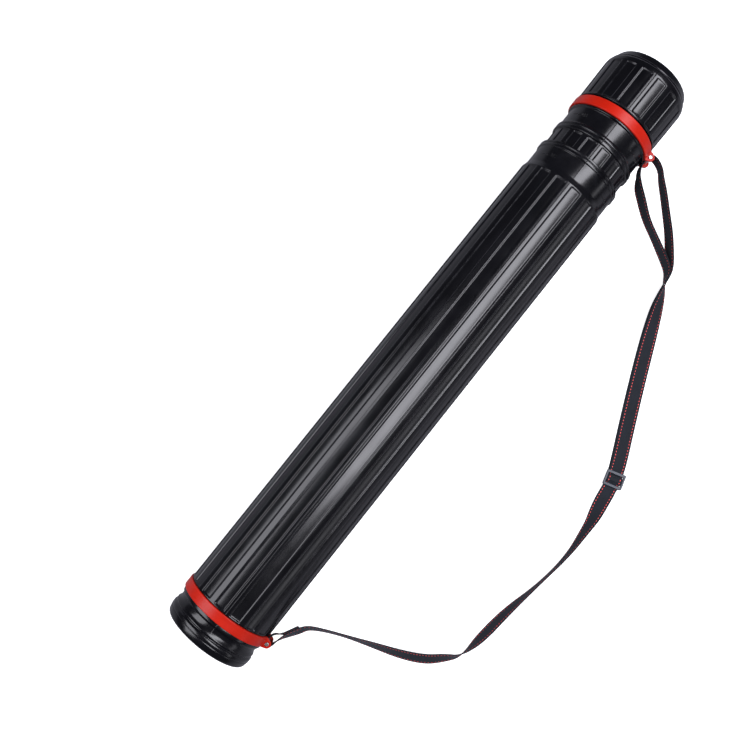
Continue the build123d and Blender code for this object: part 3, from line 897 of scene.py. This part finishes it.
# ---- pieces on their bodies ----
def finished(piece, material):
    piece.data.materials.clear()
    piece.data.materials.append(material)
    return piece


outer_shell = finished(make_outer_tube(), black_plastic)
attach(outer_shell, "root")
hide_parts("outer_tube")

inner_shell = finished(make_inner_tube(), black_plastic)
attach(inner_shell, "barrel")
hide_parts("inner_tube")

cap_shell = finished(make_cap(), black_plastic)
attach(cap_shell, "cap")
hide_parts("cap")

outer_relief = make_collar_relief("outer_collar_relief", 622.5, COLLAR_R, (42.0, 148.0, 285.0))
finished(outer_relief, black_plastic)
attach(outer_relief, "root")

inner_relief = make_collar_relief("inner_collar_relief", 679.0, INNER_R, (38.0, 140.0, 285.0))
finished(inner_relief, black_plastic)
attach(inner_relief, "barrel")

CAD_FINISHES = {
    "lower_band": red_plastic,
    "upper_band": red_plastic,
    "lower_pin": pin_metal,
    "upper_pin": pin_metal,
    "lower_pin_cap": pin_metal,
    "upper_pin_cap": pin_metal,
    "guide_ring": natural_plastic,
    "lock_bush": natural_plastic,
    "cap_seal": soft_rubber,
    "slider": slider_plastic,
}
for node, material in CAD_FINISHES.items():
    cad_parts[node].data.materials.clear()
    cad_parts[node].data.materials.append(material)

# the main webbing: sewn tail, eye round the lower pin, floor run, under the slider, up to the upper pin
ROWS = (-STITCH_ROW_MM, STITCH_ROW_MM)
TAIL_CROSSINGS = ((0.0015, -5.0, 5.5), (0.0165, -5.0, 5.5))   # stitch rows across the sewn tail

main_line, main_across = webbing_line(MAIN_ROUTE)
main_webbing = webbing("main_webbing", main_line, main_across)
finished(main_webbing, webbing_material)
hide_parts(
    "strap_tail_eye",
    "strap_lower_run",
    "strap_floor_run",
    "strap_main_flat",
    "strap_main_rise",
    "strap_upper_eye",
)
main_stitches = stitched("main_stitches", main_line, main_across, ROWS, crossing=TAIL_CROSSINGS)
finished(main_stitches, thread_material)
for piece in (main_webbing, main_stitches):
    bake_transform(piece)

# the returning layer: from the upper pin down to the slider, under the main webbing
return_line, return_across = webbing_line(RETURN_ROUTE)
return_webbing = webbing("return_webbing", return_line, return_across)
finished(return_webbing, webbing_material)
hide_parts("strap_return_rise", "strap_return_flat")
return_stitches = stitched("return_stitches", return_line, return_across, ROWS)
finished(return_stitches, thread_material)
for piece in (return_webbing, return_stitches):
    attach(piece, "carriage")

# the webbing's turn over the slider's middle bar
slider_low, slider_high = (np.array(corner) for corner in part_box("slider"))
SLIDER_MIDDLE = (slider_low + slider_high) / 2
SLIDER_YAW = math.radians(16.0)
STRAP_WAY = np.array([math.cos(SLIDER_YAW), math.sin(SLIDER_YAW), 0.0])
STRAP_SIDE = np.array([STRAP_WAY[1], -STRAP_WAY[0], 0.0])
TURN_PROFILE = [                     # (distance along the strap from the middle bar, height)
    (-4.3, 3.0), (-3.0, 3.5), (-2.5, 4.7), (-1.6, 5.75), (1.6, 5.75), (2.5, 4.7), (3.0, 3.5), (4.3, 3.0),
]


def make_slider_turn():
    """Line over the middle bar in the strap's upright plane, and its fixed width direction."""
    profile = np.array(TURN_PROFILE) * MM
    points = SLIDER_MIDDLE * [1, 1, 0] + profile[:, :1] * STRAP_WAY + profile[:, 1:] * [0, 0, 1]
    line = spline_points(points)
    return line, np.tile(STRAP_SIDE, (len(line), 1))


turn_line, turn_across = make_slider_turn()
slider_turn = webbing("slider_turn", turn_line, turn_across)
finished(slider_turn, webbing_material)
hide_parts("slider_webbing")
turn_stitches = stitched("slider_turn_stitches", turn_line, turn_across, ROWS, start=0.0032, stop=0.0025)
finished(turn_stitches, thread_material)
for piece in (slider_turn, turn_stitches):
    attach(piece, "strap_slider")

# ---- floor, light and camera ----
FLOOR_HALF = 6.0
SEEN_WORLD = 0.95            # brightness of the surroundings to the camera, and to everything else
AROUND_WORLD = 0.06
CAMERA_PLACE = (-0.1145, -0.0166, 1.0074)
CAMERA_AIM = (-0.0590, 0.0367, 0.0525)
CAMERA_UP = (0.7792, 0.6216, 0.0800)


def make_floor():
    """Flat sheet: z = 0 over a square grid."""
    side = np.linspace(-FLOOR_HALF, FLOOR_HALF, 25)
    x, y = np.meshgrid(side, side, indexing="ij")
    index = np.arange(x.size).reshape(x.shape)
    corners = [index[:-1, :-1], index[1:, :-1], index[1:, 1:], index[:-1, 1:]]
    mesh = bpy.data.meshes.new("floor")
    points = np.stack([x, y, 0.0 * x], axis=-1).reshape(-1, 3)
    mesh.from_pydata(points.tolist(), [], np.stack(corners, axis=-1).reshape(-1, 4).tolist())
    mesh.materials.append(make_floor_material())
    floor = bpy.data.objects.new("floor", mesh)
    bpy.context.collection.objects.link(floor)


def softbox(name, place, target, size, watts):
    """Rectangular soft light that faces a target, a little cool."""
    lamp = bpy.data.lights.new(name, "AREA")
    lamp.color = (0.93, 0.93, 1.0)
    lamp.shape = "RECTANGLE"
    lamp.size, lamp.size_y = size
    lamp.energy = watts
    holder = bpy.data.objects.new(name, lamp)
    holder.location = place
    holder.rotation_euler = (Vector(target) - Vector(place)).to_track_quat("-Z", "Y").to_euler()
    bpy.context.collection.objects.link(holder)


def make_world():
    """Pale surroundings for the camera, and dimmer ones for light and reflections."""
    world = bpy.data.worlds.new("studio")
    world.use_nodes = True
    tree = world.node_tree
    seen = tree.nodes["Background"]
    seen.inputs["Color"].default_value = rgb(1.0, 1.0, 1.0)
    seen.inputs["Strength"].default_value = SEEN_WORLD
    around = tree.nodes.new("ShaderNodeBackground")
    around.inputs["Color"].default_value = rgb(0.9, 0.92, 1.0)
    around.inputs["Strength"].default_value = AROUND_WORLD
    path = tree.nodes.new("ShaderNodeLightPath")
    mix = tree.nodes.new("ShaderNodeMixShader")
    tree.links.new(path.outputs["Is Camera Ray"], mix.inputs[0])
    tree.links.new(around.outputs[0], mix.inputs[1])
    tree.links.new(seen.outputs[0], mix.inputs[2])
    tree.links.new(mix.outputs[0], tree.nodes["World Output"].inputs["Surface"])
    bpy.context.scene.world = world


def make_camera():
    """Camera above the tube, turned so that the cap points up and to the right."""
    place = Vector(CAMERA_PLACE)
    back = (place - Vector(CAMERA_AIM)).normalized()
    right = Vector(CAMERA_UP).cross(back).normalized()
    up = back.cross(right)
    lens = bpy.data.cameras.new("camera")
    lens.sensor_width = 36.0
    lens.lens = 42.7
    camera = bpy.data.objects.new("camera", lens)
    turn = Matrix((right, up, back)).transposed().to_4x4()
    camera.matrix_world = Matrix.Translation(place) @ turn
    bpy.context.collection.objects.link(camera)
    bpy.context.scene.camera = camera


make_floor()
make_world()
make_camera()
softbox("upper_softbox", (0.42, -0.46, 1.3), (0.25, 0.0, 0.0), (1.5, 0.55), 24.0)
softbox("lower_softbox", (-0.6, 1.0, 1.2), (-0.3, 0.0, 0.0), (1.5, 0.9), 20.0)
softbox("side_softbox", (0.0, -1.5, 0.5), (0.0, 0.0, 0.05), (1.8, 0.22), 2.2)
bpy.context.scene.view_settings.view_transform = "Standard"
